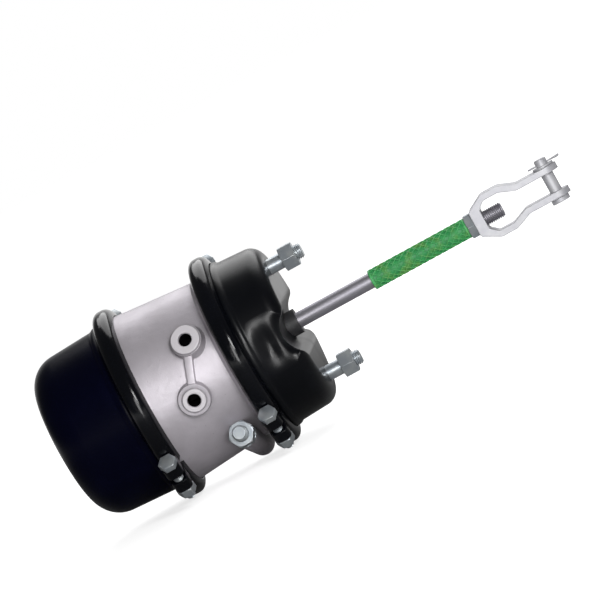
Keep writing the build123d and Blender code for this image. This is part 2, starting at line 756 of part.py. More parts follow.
def clevis():
    """Forged yoke: a threaded base, arms that bow out round the rod's end and close to the jaw."""
    eye = yoke_width / 2
    jaw = yoke_gap / 2
    belly = yoke_belly / 2 - yoke_thickness
    seat = yoke_floor / 2
    inside = [(pin_x + eye, jaw), (pin_x - yoke_jaw_length, jaw), (yoke_floor_x + yoke_belly_end, belly)]
    inside += [(yoke_floor_x + yoke_belly_start, belly), (yoke_floor_x, seat)]
    outside = parallel(inside[:4], yoke_thickness) + [(yoke_x, seat + yoke_thickness / 2)]
    outer_half = outside + [(x, -z) for x, z in reversed(outside)]
    inner_half = inside + [(x, -z) for x, z in reversed(inside)]
    soft = yoke_thickness
    outer_radii = [0] + [2 * soft, 2 * soft, soft, soft / 2] + [soft / 2, soft, 2 * soft, 2 * soft] + [0]
    inner_radii = [0] + [soft, soft, soft, soft / 2] + [soft / 2, soft, soft, soft] + [0]
    body = make_face(FilletPolyline(*outer_half, radius=outer_radii, close=True))
    body -= make_face(FilletPolyline(*inner_half, radius=inner_radii, close=True))
    yoke = extrude(Plane.XZ * body, yoke_width, both=True)
    plan = Pos((yoke_x + pin_x) / 2, 0) * Rectangle(yoke_length, yoke_width) + Pos(pin_x, 0) * Circle(eye)
    yoke &= extrude(plan, yoke_belly, both=True)
    yoke -= along_x(yoke_x) * Cylinder(rod_radius + thread_fit, 4 * yoke_base)
    return yoke - Pos(pin_x, 0, 0) * Cylinder(pin_radius + running_fit, 2 * yoke_belly)


def clevis_pin():
    """Headed pin through the jaw, cross-drilled for the cotter at its free end."""
    low = -jaw_outer - seat_gap
    pin = Pos(pin_x, 0, (low + pin_top) / 2) * Cylinder(pin_radius, pin_top - low)
    pin = chamfer(pin.edges().sort_by(Axis.Z)[-1], pin_chamfer)
    pin += Pos(pin_x, 0, low - pin_head_height / 2) * Cylinder(pin_head_radius, pin_head_height)
    hole = Rot(0, 90, 0) * Cylinder(cotter_radius + thread_fit, 4 * pin_radius)
    return pin - Pos(pin_x, 0, cotter_height) * hole


def pin_washer():
    """Washer under the cotter."""
    washer = Cylinder(pin_washer_radius, pin_washer_height)
    washer -= Cylinder(pin_radius + thread_fit, 2 * pin_washer_height)
    return Pos(pin_x, 0, washer_low + pin_washer_height / 2) * washer


def cotter_pin():
    """Split pin through the clevis pin: an eye on one side and two bent legs on the other."""
    reach = pin_radius + cotter_radius
    eye_radius = 2 * cotter_radius
    pin = Rot(0, 90, 0) * Cylinder(cotter_radius, 2 * reach)
    pin += Pos(-reach - eye_radius, 0, 0) * Torus(eye_radius, cotter_eye_wire)
    leg = Cylinder(cotter_leg_radius, 3 * reach / 2, align=(Align.CENTER, Align.CENTER, Align.MIN))
    for side in (-1, 1):
        pin += Pos(pin_radius, 0, 0) * Rot(0, 0, side * cotter_spread) * Rot(0, 90, 0) * leg
    return Pos(pin_x, 0, cotter_height) * pin


nodes = {
    "spring_housing": spring_housing(),
    "dust_plug": dust_plug(),
    "rear_clamp_upper_half": clamp_half_band(rear_plane, rear_lug_angle, 0),
    "rear_clamp_lower_half": clamp_half_band(rear_plane, rear_lug_angle, 1),
    "rear_clamp_bolts": at_lugs(rear_plane, rear_lug_angle, clamp_bolt()),
    "rear_clamp_nuts": at_lugs(rear_plane, rear_lug_angle, clamp_nut()),
    "flange_case": flange_case(),
    "rod_bush": rod_bush(),
    "rod_seals": rod_seals(),
    "emergency_diaphragm": emergency_diaphragm(),
    "service_diaphragm": service_diaphragm(),
    "front_clamp_upper_half": clamp_half_band(front_plane, front_lug_angle, 0),
    "front_clamp_lower_half": clamp_half_band(front_plane, front_lug_angle, 1),
    "front_clamp_bolts": at_lugs(front_plane, front_lug_angle, clamp_bolt()),
    "front_clamp_nuts": at_lugs(front_plane, front_lug_angle, clamp_nut()),
    "front_housing": front_housing(),
    "stud_plates": stud_plates(),
    "mounting_studs": mounting_studs(),
    "mounting_nuts": mounting_nuts(),
    "rod_guide": rod_guide(),
    "release_bolt": release_bolt(),
    "release_washer": release_washer(),
    "release_nut": release_nut(),
    "power_spring": power_spring(),
    "service_return_spring": service_return_spring(),
    "pressure_plate": pressure_plate(),
    "adapter_rod": adapter_rod(),
    "adapter_plate": adapter_plate(),
    "adapter_screw": screw_form(0),
    "push_plate": push_plate(),
    "push_rod": push_rod(),
    "rod_sleeve": rod_sleeve(),
    "lock_nut": lock_nut(),
    "clevis": clevis(),
    "clevis_pin": clevis_pin(),
    "pin_washer": pin_washer(),
    "cotter_pin": cotter_pin(),
}

os.makedirs("parts", exist_ok=True)
for name, shape in nodes.items():
    solids = shape if isinstance(shape, list) else [shape]
    export_step(Compound(children=[Part(one.wrapped) for one in solids]), f"parts/{name}.step")
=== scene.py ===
import json
import math

import bmesh
import bpy
from bpy.props import FloatProperty, FloatVectorProperty, IntProperty, PointerProperty
from mathutils import Matrix, Vector


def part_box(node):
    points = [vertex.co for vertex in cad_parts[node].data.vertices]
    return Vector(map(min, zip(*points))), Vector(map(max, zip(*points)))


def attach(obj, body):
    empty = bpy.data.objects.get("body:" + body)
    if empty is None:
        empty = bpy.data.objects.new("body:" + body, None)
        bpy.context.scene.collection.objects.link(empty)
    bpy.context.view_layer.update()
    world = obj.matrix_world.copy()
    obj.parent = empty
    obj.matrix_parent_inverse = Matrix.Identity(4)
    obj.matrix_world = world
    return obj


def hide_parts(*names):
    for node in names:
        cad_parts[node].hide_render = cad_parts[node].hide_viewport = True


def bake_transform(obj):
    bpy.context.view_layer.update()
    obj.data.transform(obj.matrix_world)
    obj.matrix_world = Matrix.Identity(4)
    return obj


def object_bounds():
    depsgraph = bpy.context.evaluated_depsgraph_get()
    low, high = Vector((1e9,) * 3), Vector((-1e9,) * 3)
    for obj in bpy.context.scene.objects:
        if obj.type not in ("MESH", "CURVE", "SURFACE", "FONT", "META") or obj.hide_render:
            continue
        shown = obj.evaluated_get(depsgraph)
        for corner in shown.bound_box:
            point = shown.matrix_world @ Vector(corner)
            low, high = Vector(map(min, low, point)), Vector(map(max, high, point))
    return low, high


bl_info = {
    "name": "Spring brake chamber",
    "version": (1, 0, 0),
    "blender": (4, 5, 0),
    "location": "View3D > Sidebar > Brake chamber",
    "description": "Finishes, threads, springs and rubber of a spring brake chamber around its packed solids",
    "category": "Object",
}

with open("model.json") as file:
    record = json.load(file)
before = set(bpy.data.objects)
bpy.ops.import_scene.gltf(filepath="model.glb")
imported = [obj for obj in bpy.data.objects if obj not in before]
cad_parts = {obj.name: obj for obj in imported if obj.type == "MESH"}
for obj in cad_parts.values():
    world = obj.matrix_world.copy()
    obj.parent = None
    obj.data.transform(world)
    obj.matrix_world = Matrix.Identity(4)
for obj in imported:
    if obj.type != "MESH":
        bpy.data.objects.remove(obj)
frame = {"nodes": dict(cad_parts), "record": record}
mounts = {mount["name"]: mount for mount in frame["record"]["mounts"]}
cad_low, cad_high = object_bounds()
ports = ("service_port", "parking_port")
# Steps of a full turn, of round bodies and of threads and strands
ROUND_STEPS = 64
HELIX_STEPS = 32
MERGE_DISTANCE = 1e-6
SHARP_ANGLE = math.radians(38.0)
# Depth of a thread as a share of its pitch
THREAD_DEPTH = 0.6
FLOOR_SIZE = 8.0


def middle(node):
    """Centre of a CAD node's box."""
    low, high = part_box(node)
    return (Vector(low) + Vector(high)) / 2


def extent(node):
    """First and last station of a CAD node along the push rod."""
    low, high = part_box(node)
    return low[0], high[0]


def half_height(node):
    """Half the height of a CAD node, which is the radius of one turned about the push rod."""
    low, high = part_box(node)
    return (high[2] - low[2]) / 2


# Shader maths


class Wire:
    """An output socket, so that sums over a surface read as plain Python."""

    def __init__(self, sheet, socket):
        self.sheet = sheet
        self.socket = socket

    def __add__(self, other):
        return self.sheet.math("ADD", self, other)

    def __sub__(self, other):
        return self.sheet.math("SUBTRACT", self, other)

    def __rsub__(self, other):
        return self.sheet.math("SUBTRACT", other, self)

    def __mul__(self, other):
        return self.sheet.math("MULTIPLY", self, other)

    __radd__ = __add__
    __rmul__ = __mul__


class NodeSheet:
    """A node tree of a material or world, filled through one method."""

    def __init__(self, tree):
        self.tree = tree

    def node(self, kind, settings=None, inputs=None, output=0):
        """Adds a node, sets it up, fills its sockets with values or wires and returns one output."""
        node = self.tree.nodes.new(kind)
        for name, value in (settings or {}).items():
            setattr(node, name, value)
        for name, value in (inputs or {}).items():
            self.feed(node.inputs[name], value)
        return Wire(self, node.outputs[output])

    def feed(self, socket, value):
        """Puts a wire or a plain value into a socket."""
        if isinstance(value, Wire):
            self.tree.links.new(value.socket, socket)
        else:
            socket.default_value = value

    def math(self, operation, first, second):
        return self.node("ShaderNodeMath", {"operation": operation}, {0: first, 1: second})

    def largest(self, first, second):
        return self.math("MAXIMUM", first, second)

    def vector(self, operation, first, second=None, output="Vector"):
        inputs = {0: first} if second is None else {0: first, 1: second}
        return self.node("ShaderNodeVectorMath", {"operation": operation}, inputs, output)

    def dot(self, first, second):
        return self.vector("DOT_PRODUCT", first, second, "Value")

    def length(self, value):
        return self.vector("LENGTH", value, output="Value")

    def step(self, value, low, high):
        """Smooth step from 0 at low to 1 at high."""
        settings = {"interpolation_type": "SMOOTHSTEP"}
        return self.node("ShaderNodeMapRange", settings, {"Value": value, "From Min": low, "From Max": high})

    def mix(self, factor, first, second):
        """Colour between two colours."""
        return self.node("ShaderNodeMix", {"data_type": "RGBA"}, {0: factor, 6: opaque(first), 7: opaque(second)}, 2)


def opaque(color):
    """A colour with its alpha; a wire passes unchanged."""
    return color if isinstance(color, Wire) else (*color, 1.0)


class Finish(NodeSheet):
    """A surface finish: a Principled shader whose colour, roughness and bump vary over the part."""

    def __init__(self, name, **constants):
        self.material = bpy.data.materials.new(name)
        self.material.use_nodes = True
        super().__init__(self.material.node_tree)
        self.shader = self.tree.nodes["Principled BSDF"]
        self.place = self.node("ShaderNodeTexCoord", output="Object")
        for socket, value in constants.items():
            self.set(socket.replace("_", " "), value)

    def set(self, socket, value):
        self.feed(self.shader.inputs[socket], value)

    def noise(self, scale, detail=3.0, stretch=None):
        """Cloudy pattern with a given number of lumps per metre, drawn out along an axis where stretched."""
        place = self.place
        if stretch:
            place = self.node("ShaderNodeMapping", inputs={"Vector": place, "Scale": stretch})
        return self.node("ShaderNodeTexNoise", inputs={"Vector": place, "Scale": scale, "Detail": detail})

    def pits(self, scale):
        """Distance to the nearest of scattered points, for grains and pores."""
        return self.node("ShaderNodeTexVoronoi", inputs={"Vector": self.place, "Scale": scale})

    def soft_edges(self, radius):
        """Normal rounded over the edges, and a mask of those edges."""
        rounded = self.node("ShaderNodeBevel", {"samples": 6}, {"Radius": radius})
        flat = self.node("ShaderNodeNewGeometry", output="Normal")
        return rounded, self.step(self.dot(rounded, flat), 0.985, 0.8)

    def corner_shade(self, reach):
        """Mask of inner corners, where shade is painted into the colour."""
        settings = {"samples": 8, "only_local": True}
        return self.step(self.node("ShaderNodeAmbientOcclusion", settings, {"Distance": reach}, "AO"), 0.95, 0.45)

    def port_masks(self, mount):
        """Masks of a port's turned face and of the inside of its bore, down to twice the bore's length; the second
        marks where the bore's shade is painted.
        """
        offset = self.vector("SUBTRACT", self.place, mount["pos_m"])
        height = self.dot(offset, mount["axis"])
        distance = self.length(self.vector("CROSS_PRODUCT", offset, mount["axis"]))
        wall = mount["dims"]["r_mm"] / 1000
        depth = 2 * mount["dims"]["length_mm"] / 1000
        face = self.step(height, -0.0004, -0.0002)
        # Painted shade: the bore's inside is marked to be coloured near-black.
        inside = self.step(distance, wall + 0.0004, wall + 0.0002) * self.step(height, -depth, 0.9 * -depth)
        return face, inside * self.step(height, -0.0008, -0.003)

    def bump(self, height, distance, normal=None):
        """Relief of a given depth in metres, over a rounded normal where one is given."""
        inputs = {"Height": height, "Distance": distance, "Strength": 1.0}
        if normal:
            inputs["Normal"] = normal
        self.set("Normal", self.node("ShaderNodeBump", inputs=inputs))


# Finishes


def paint_finish(name, sizes, color, gloss, roughness):
    """Black stove enamel: faint orange peel, a thin haze of dust and slightly dulled patches."""
    finish = Finish(name, Specular_IOR_Level=gloss)
    peel = finish.noise(300.0, 2.0)
    haze = finish.step(finish.noise(24.0, 6.0), 0.45, 0.8)
    specks = finish.step(finish.pits(420.0), 0.16, 0.06) * haze
    rounded, edge = finish.soft_edges(sizes.paint_rounding)
    base = finish.mix(haze, color, [1.6 * part for part in color])
    base = finish.mix(specks * 0.2, base, (0.05, 0.05, 0.055))
    finish.set("Base Color", finish.mix(edge * 0.15, base, (0.03, 0.03, 0.033)))
    finish.set("Roughness", roughness + haze * 0.05 + specks * 0.15)
    finish.bump(peel, 0.00005, rounded)
    return finish.material


def cast_finish(name, sizes):
    """Sand-cast aluminium with a fine grain, cloudy patches and pores; the port faces are turned bright, painted
    shade darkens the inner corners, and the port bores are painted near-black as shade.
    """
    finish = Finish(name)
    grain = finish.noise(1100.0, 4.0)
    lumps = finish.noise(170.0, 3.0)
    cloud = finish.step(finish.noise(22.0, 5.0), 0.3, 0.75)
    pores = finish.step(finish.pits(330.0), 0.2, 0.05) * finish.step(lumps, 0.5, 0.7)
    rounded, edge = finish.soft_edges(0.0009)
    faces, bore_shades = zip(*(finish.port_masks(mounts[port]) for port in ports))
    turned, bore_shade = sum(faces), sum(bore_shades)
    base = finish.mix(cloud, sizes.cast_dark, sizes.cast_light)
    base = finish.mix(pores * 0.6, base, (0.2, 0.19, 0.2))
    # Painted shade: inner corners darkened towards a dark grey.
    base = finish.mix(finish.corner_shade(0.018) * 0.75, base, (0.13, 0.12, 0.13))
    base = finish.mix(edge * 0.35, base, (0.75, 0.74, 0.75))
    base = finish.mix(turned * 0.8, base, (0.72, 0.69, 0.72))
    # Painted shade: the port bores are coloured near-black, with metallic and roughness raised to keep them dark.
    finish.set("Base Color", finish.mix(bore_shade, base, (0.006, 0.005, 0.006)))
    finish.set("Metallic", 0.55 - turned * 0.2 + bore_shade * 0.45)
    finish.set("Roughness", 0.52 - cloud * 0.08 + pores * 0.1 + bore_shade * 0.4)
    finish.bump(grain * 0.5 + lumps - pores, 0.00022, rounded)
    return finish.material


def plated_finish(name, color, stain, roughness, metallic, rounding):
    """Zinc plated steel: passivation clouds, hairline scratches and brighter rubbed edges."""
    finish = Finish(name)
    cloud = finish.noise(70.0, 4.0)
    scratch = finish.step(finish.noise(300.0, 2.0, (1.0, 1.0, 9.0)), 0.6, 0.75)
    rounded, edge = finish.soft_edges(rounding)
    base = finish.mix(finish.step(cloud, 0.35, 0.7), color, stain)
    finish.set("Base Color", finish.mix(edge * 0.5, base, (0.86, 0.87, 0.88)))
    finish.set("Metallic", metallic)
    finish.set("Roughness", roughness + cloud * 0.16 + scratch * 0.08 - edge * 0.06)
    finish.bump(scratch * 0.3 + cloud * 0.4, 0.00003, rounded)
    return finish.material


def rod_finish(name, dark, light):
    """Drawn steel rod with fine lines along it and a trace of oil."""
    finish = Finish(name, Metallic=0.8)
    lines = finish.noise(900.0, 3.0, (0.02, 1.0, 1.0))
    oil = finish.step(finish.noise(35.0, 4.0, (0.4, 1.0, 1.0)), 0.4, 0.75)
    base = finish.mix(lines, dark, light)
    finish.set("Base Color", finish.mix(oil * 0.5, base, (0.33, 0.32, 0.335)))
    finish.set("Roughness", 0.46 + lines * 0.14 - oil * 0.1)
    finish.bump(lines, 0.00003)
    return finish.material


def net_finish(name, color, shade, tint):
    """Green plastic of the sleeve, uneven where it was drawn thin and yellowed in patches."""
    finish = Finish(name, Specular_IOR_Level=0.4)
    drawn = finish.noise(150.0, 3.0)
    patch = finish.step(finish.noise(85.0, 2.0), 0.46, 0.68)
    base = finish.mix(finish.step(drawn, 0.35, 0.7), shade, color)
    finish.set("Base Color", finish.mix(patch * 0.7, base, tint))
    finish.set("Roughness", 0.34 + drawn * 0.25)
    finish.bump(drawn, 0.0002)
    return finish.material


def rubber_finish(name):
    """Moulded black rubber, matt, with a fabric grain and a pale bloom."""
    finish = Finish(name, Specular_IOR_Level=0.3)
    grain = finish.noise(1300.0, 2.0)
    bloom = finish.step(finish.noise(45.0, 5.0), 0.45, 0.8)
    finish.set("Base Color", finish.mix(bloom, (0.012, 0.012, 0.013), (0.04, 0.04, 0.042)))
    finish.set("Roughness", 0.62 + bloom * 0.2)
    finish.bump(grain, 0.00012)
    return finish.material


def nylon_finish(name):
    """Black moulded nylon of the guide and the bush, polished where the rod rubs."""
    finish = Finish(name, Specular_IOR_Level=0.4)
    texture = finish.noise(700.0, 3.0)
    rub = finish.step(finish.noise(60.0, 4.0), 0.45, 0.7)
    finish.set("Base Color", finish.mix(rub, (0.025, 0.025, 0.027), (0.06, 0.06, 0.062)))
    finish.set("Roughness", 0.5 - rub * 0.15)
    finish.bump(texture, 0.00008)
    return finish.material


def spring_finish(name):
    """Coated spring steel, grey with darker drawn lines."""
    finish = Finish(name, Metallic=0.4)
    coat = finish.noise(120.0, 4.0)
    finish.set("Base Color", finish.mix(coat, (0.05, 0.055, 0.06), (0.13, 0.14, 0.15)))
    finish.set("Roughness", 0.4 + coat * 0.2)
    finish.bump(coat, 0.0001)
    return finish.material


def finish_for(slot):
    """The material of one of the record's slots, made the first time it is asked for."""
    sizes = bpy.context.scene.brake_finish
    name = f"{slot}_finish"
    makers = {
        "black_paint": lambda: paint_finish(name, sizes, sizes.paint, sizes.paint_gloss, sizes.paint_roughness),
        "band_paint": lambda: paint_finish(name, sizes, sizes.paint, sizes.paint_gloss, sizes.band_roughness),
        "satin_paint": lambda: paint_finish(name, sizes, sizes.satin, sizes.satin_gloss, sizes.satin_roughness),
        "cast_aluminium": lambda: cast_finish(name, sizes),
        "zinc_steel": lambda: plated_finish(name, sizes.zinc, sizes.zinc_stain, 0.28, 0.75, 0.0005),
        "bright_zinc": lambda: plated_finish(name, sizes.bright_zinc, sizes.bright_stain, 0.42, 0.45, 0.0015),
        "rod_steel": lambda: rod_finish(name, sizes.rod_dark, sizes.rod_light),
        "green_mesh": lambda: net_finish(name, sizes.net, (0.05, 0.33, 0.1), (0.16, 0.36, 0.09)),
        "sleeve_film": lambda: net_finish(name, sizes.film, (0.025, 0.24, 0.07), (0.09, 0.27, 0.05)),
        "black_rubber": lambda: rubber_finish(name),
        "guide_plastic": lambda: nylon_finish(name),
        "spring_steel": lambda: spring_finish(name),
    }
    return bpy.data.materials.get(name) or makers[slot]()


def dress(*names):
    """Gives CAD nodes the finish of their own material slot."""
    slots = {row["node"]: row["material_slot"] for row in frame["record"]["subparts"]}
    for name in names:
        cover(name, finish_for(slots[name]))


def cover(name, material):
    """Gives a CAD node one material."""
    node = frame["nodes"][name]
    node.data.materials.clear()
    node.data.materials.append(material)


# Mesh helpers


def add_piece(name, bm, slot, nodes=(), material=None):
    """Turns a mesh into a smooth piece that stands for CAD nodes, in the finish of a slot."""
    bmesh.ops.remove_doubles(bm, verts=bm.verts, dist=MERGE_DISTANCE)
    bmesh.ops.dissolve_degenerate(bm, edges=bm.edges, dist=MERGE_DISTANCE / 10)
    bmesh.ops.recalc_face_normals(bm, faces=bm.faces)
    mesh = bpy.data.meshes.new(name)
    bm.to_mesh(mesh)
    bm.free()
    mesh.shade_smooth()
    mesh.set_sharp_from_angle(angle=SHARP_ANGLE)
    mesh.materials.append(material or finish_for(slot))
    piece = bpy.data.objects.new(name, mesh)
    bpy.context.scene.collection.objects.link(piece)
    if nodes:
        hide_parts(*nodes)
    return piece


def lathe(bm, outline):
    """Spins an (axial, radius) outline about the X axis."""
    verts = [bm.verts.new((x, 0.0, radius)) for x, radius in outline]
    edges = [bm.edges.new(pair) for pair in zip(verts, verts[1:])]
    bmesh.ops.spin(bm, geom=verts + edges, cent=(0, 0, 0), axis=(1, 0, 0), dvec=(0, 0, 0), angle=math.tau,
                   steps=ROUND_STEPS, use_merge=True)


def fill_ends(bm):
    """Closes every open rim with a face."""
    bmesh.ops.holes_fill(bm, edges=[edge for edge in bm.edges if edge.is_boundary], sides=0)


def thread(bm, start, end, crest, pitch, chamfer):
    """Threaded bar along X: one pitch of its outline spun along a helix, chamfered at the end and trimmed."""
    root = crest - THREAD_DEPTH * pitch
    outline = [(0.0, root), (0.125, root), (0.44, crest), (0.56, crest), (0.875, root), (1.0, root)]
    turns = math.ceil((end - start) / pitch) + 2
    verts = [bm.verts.new((start + (share - 2) * pitch, 0.0, radius)) for share, radius in outline]
    edges = [bm.edges.new(pair) for pair in zip(verts, verts[1:])]
    bmesh.ops.spin(bm, geom=verts + edges, cent=(0, 0, 0), axis=(1, 0, 0), dvec=(pitch / HELIX_STEPS, 0, 0),
                   angle=math.tau * (turns + 1), steps=HELIX_STEPS * (turns + 1), use_merge=False)
    bmesh.ops.remove_doubles(bm, verts=bm.verts, dist=MERGE_DISTANCE)
    for vert in bm.verts:
        radius = math.hypot(vert.co.y, vert.co.z)
        share = min(1.0, (crest - chamfer + max(0.0, end - vert.co.x)) / radius)
        vert.co.yz = vert.co.yz * share
    for station, way in ((start, -1), (end, 1)):
        bmesh.ops.bisect_plane(bm, geom=bm.verts[:] + bm.edges[:] + bm.faces[:], plane_co=(station, 0, 0),
                               plane_no=(way, 0, 0), clear_outer=True)
    fill_ends(bm)


def hexagon_head(bm, start, height, spanner):
    """Hexagon bolt head along X with softened edges."""
    corner = spanner / math.sqrt(3)
    turn = Matrix.Translation((start, 0, 0)) @ Matrix.Rotation(math.radians(90), 4, "Y")
    base = bmesh.ops.create_circle(bm, cap_ends=True, segments=6, radius=corner, matrix=turn)
    face = base["verts"][0].link_faces[0]
    raised = bmesh.ops.extrude_face_region(bm, geom=[face])["geom"]
    top = [item for item in raised if isinstance(item, bmesh.types.BMVert)]
    bmesh.ops.translate(bm, verts=top, vec=(height, 0, 0))
    edges = {edge for vert in base["verts"] + top for edge in vert.link_edges}
    bmesh.ops.bevel(bm, geom=list(edges), offset=height / 12, segments=2, profile=0.5, affect="EDGES", material=-1)


def repeat(bm, places):
    """Puts copies of everything drawn so far at each of the given places."""
    drawn = bm.verts[:] + bm.edges[:] + bm.faces[:]
    for place in places[1:]:
        copy = bmesh.ops.duplicate(bm, geom=drawn)["geom"]
        bmesh.ops.transform(bm, matrix=place, verts=[item for item in copy if isinstance(item, bmesh.types.BMVert)])
    bmesh.ops.transform(bm, matrix=places[0], verts=[item for item in drawn if isinstance(item, bmesh.types.BMVert)])


def along(origin, axis):
    """Place at a point whose own X runs along an axis."""
    return Matrix.Translation(origin) @ Vector(axis).to_track_quat("X", "Z").to_matrix().to_4x4()


def rim_way(angle):
    """Direction across the push rod at an angle above -Y."""
    return Vector((0.0, -math.cos(angle), math.sin(angle)))


def rim_tangent(angle):
    """Direction along the rim, the way the angle above -Y grows."""
    return Vector((0.0, math.sin(angle), math.cos(angle)))


# Sizes that a user would change


class FinishSizes(bpy.types.PropertyGroup):
    """Colours and gloss of the main finishes."""

    paint: FloatVectorProperty(name="Paint", description="Black of the front housing and the bands", subtype="COLOR",
                               default=(0.0013, 0.0016, 0.0028))
    satin: FloatVectorProperty(name="Satin paint", description="Blue-black of the rear housing", subtype="COLOR",
                               default=(0.0009, 0.0011, 0.0065))
    paint_gloss: FloatProperty(name="Paint gloss", description="Specular level of the paint", default=0.28)
    paint_roughness: FloatProperty(name="Paint roughness", description="Roughness of the front housing", default=0.29)
    band_roughness: FloatProperty(name="Band roughness", description="Roughness of the clamp bands", default=0.13)
    satin_gloss: FloatProperty(name="Satin gloss", description="Specular level of the rear housing", default=0.05)
    satin_roughness: FloatProperty(name="Satin roughness", description="Roughness of the rear housing", default=0.3)
    paint_rounding: FloatProperty(name="Paint rounding", description="Radius of the edges under the paint",
                                  default=0.002, unit="LENGTH")
    cast_light: FloatVectorProperty(name="Casting, light", description="Bright patches of the casting",
                                    subtype="COLOR", default=(0.62, 0.585, 0.63))
    cast_dark: FloatVectorProperty(name="Casting, dark", description="Dull patches of the casting", subtype="COLOR",
                                   default=(0.49, 0.46, 0.495))
    zinc: FloatVectorProperty(name="Zinc", description="Plating of the studs, bolts and nuts", subtype="COLOR",
                              default=(0.42, 0.46, 0.5))
    zinc_stain: FloatVectorProperty(name="Zinc, clouds", description="Lighter clouds of that plating",
                                    subtype="COLOR", default=(0.54, 0.57, 0.58))
    bright_zinc: FloatVectorProperty(name="Bright zinc", description="Plating of the yoke and its pin",
                                     subtype="COLOR", default=(0.44, 0.44, 0.47))
    bright_stain: FloatVectorProperty(name="Bright zinc, clouds", description="Lighter clouds of that plating",
                                      subtype="COLOR", default=(0.53, 0.53, 0.55))
    rod_dark: FloatVectorProperty(name="Rod, dark", description="Dark drawn lines of the rod", subtype="COLOR",
                                  default=(0.29, 0.285, 0.325))
    rod_light: FloatVectorProperty(name="Rod, light", description="Light drawn lines of the rod", subtype="COLOR",
                                   default=(0.42, 0.41, 0.455))
    net: FloatVectorProperty(name="Net", description="Green of the sleeve's strands", subtype="COLOR",
                             default=(0.075, 0.4, 0.125))
    film: FloatVectorProperty(name="Film", description="Green of the film under the net", subtype="COLOR",
                              default=(0.035, 0.3, 0.085))


class ClampSizes(bpy.types.PropertyGroup):
    """Clamp bolts, as the solids have them."""

    front_angle: FloatProperty(name="Front lugs", description="Angle of the front band's lugs above -Y",
                               default=math.radians(-42.0), subtype="ANGLE")
    rear_angle: FloatProperty(name="Rear lugs", description="Angle of the rear band's lugs above -Y",
                              default=math.radians(-39.0), subtype="ANGLE")
    bolt_reach: FloatProperty(name="Bolt circle", description="Distance of the clamp bolts from the push rod",
                              default=0.1105, unit="LENGTH")
    lug_outer: FloatProperty(name="Lug pair", description="Half the length of a lug pair", default=0.017,
                             unit="LENGTH")
    radius: FloatProperty(name="Bolt radius", description="Radius of a clamp bolt", default=0.005, unit="LENGTH")
    spanner: FloatProperty(name="Spanner", description="Width across the flats of the heads", default=0.017,
                           unit="LENGTH")
    head: FloatProperty(name="Head", description="Height of a bolt's head", default=0.007, unit="LENGTH")
    tail: FloatProperty(name="Tail", description="Bolt end past the lugs, nut included", default=0.017, unit="LENGTH")
    pitch: FloatProperty(name="Pitch", description="Thread pitch", default=0.0015, unit="LENGTH")


class ThreadSizes(bpy.types.PropertyGroup):
    """Threads of the studs, the rod and the release bolt."""

    pitch: FloatProperty(name="Pitch", description="Pitch of the 16 mm threads", default=0.002, unit="LENGTH")
    chamfer: FloatProperty(name="Chamfer", description="Chamfer of a threaded end", default=0.0016, unit="LENGTH")
    rod_run: FloatProperty(name="Rod thread", description="Thread on the rod behind the lock nut", default=0.03,
                           unit="LENGTH")
    stud_head: FloatProperty(name="Stud head", description="Radius of a stud's head", default=0.013, unit="LENGTH")
    stud_head_height: FloatProperty(name="Stud head height", description="Height of a stud's head", default=0.008,
                                    unit="LENGTH")
    release_angle: FloatProperty(name="Release bolt", description="Angle of the release bolt's tube above -Y",
                                 default=math.radians(-75.5), subtype="ANGLE")
    release_tail: FloatProperty(name="Release tail", description="Release bolt past its nut", default=0.009,
                                unit="LENGTH")


class PortSizes(bpy.types.PropertyGroup):
    """Air ports and the rib between them."""

    pitch: FloatProperty(name="Pitch", description="Pitch of the port threads", default=0.0015, unit="LENGTH")
    rib_width: FloatProperty(name="Rib width", description="Width of the rib along the push rod", default=0.0095,
                             unit="LENGTH")
    rib_drop: FloatProperty(name="Rib drop", description="How far the rib lies under the port faces", default=0.004,
                            unit="LENGTH")
    rib_depth: FloatProperty(name="Rib depth", description="Depth of the rib with its root", default=0.008,
                             unit="LENGTH")
    rib_rounding: FloatProperty(name="Rib rounding", description="Radius of the rib's edges", default=0.0015,
                                unit="LENGTH")


class SleeveSizes(bpy.types.PropertyGroup):
    """Net sleeve on the rod."""

    strands: IntProperty(name="Strands", description="Strands wound each way round", default=9)
    strand: FloatProperty(name="Strand", description="Thickness of a strand", default=0.0017, unit="LENGTH")
    lead: FloatProperty(name="Lead", description="Length of one turn of a strand", default=0.066, unit="LENGTH")
    hem: FloatProperty(name="Hem", description="Length of the welded hem at each end", default=0.003, unit="LENGTH")


class SpringSizes(bpy.types.PropertyGroup):
    """Coils inside the chamber."""

    power_wire: FloatProperty(name="Power wire", description="Wire of the power spring", default=0.0115,
                              unit="LENGTH")
    power_turns: FloatProperty(name="Power turns", description="Working turns of the power spring", default=3.6)
    power_taper: FloatProperty(name="Power taper", description="How much wider the power spring ends", default=0.002,
                               unit="LENGTH")
    return_wire: FloatProperty(name="Return wire", description="Wire of the return spring", default=0.0045,
                               unit="LENGTH")
    return_turns: FloatProperty(name="Return turns", description="Working turns of the return spring", default=2.4)
    return_taper: FloatProperty(name="Return taper", description="How much wider the return spring ends",
                                default=0.017, unit="LENGTH")
    closed: FloatProperty(name="Closed turn", description="Share of a turn that lies flat at each end", default=0.7)


class RubberSizes(bpy.types.PropertyGroup):
    """Diaphragms between the housings."""

    thickness: FloatProperty(name="Thickness", description="Sheet of a diaphragm", default=0.0034, unit="LENGTH")
    bead: FloatProperty(name="Bead", description="Length of the bead under the clamp", default=0.0044, unit="LENGTH")
    bead_depth: FloatProperty(name="Bead depth", description="How far the bead reaches inwards", default=0.0095,
                              unit="LENGTH")


class CotterSizes(bpy.types.PropertyGroup):
    """Split pin through the clevis pin."""

    wire: FloatProperty(name="Wire", description="Radius of each half of the cotter", default=0.0008, unit="LENGTH")
    eye: FloatProperty(name="Eye", description="Radius of the cotter's eye", default=0.003, unit="LENGTH")
    leg: FloatProperty(name="Leg", description="Length of a bent leg", default=0.011, unit="LENGTH")


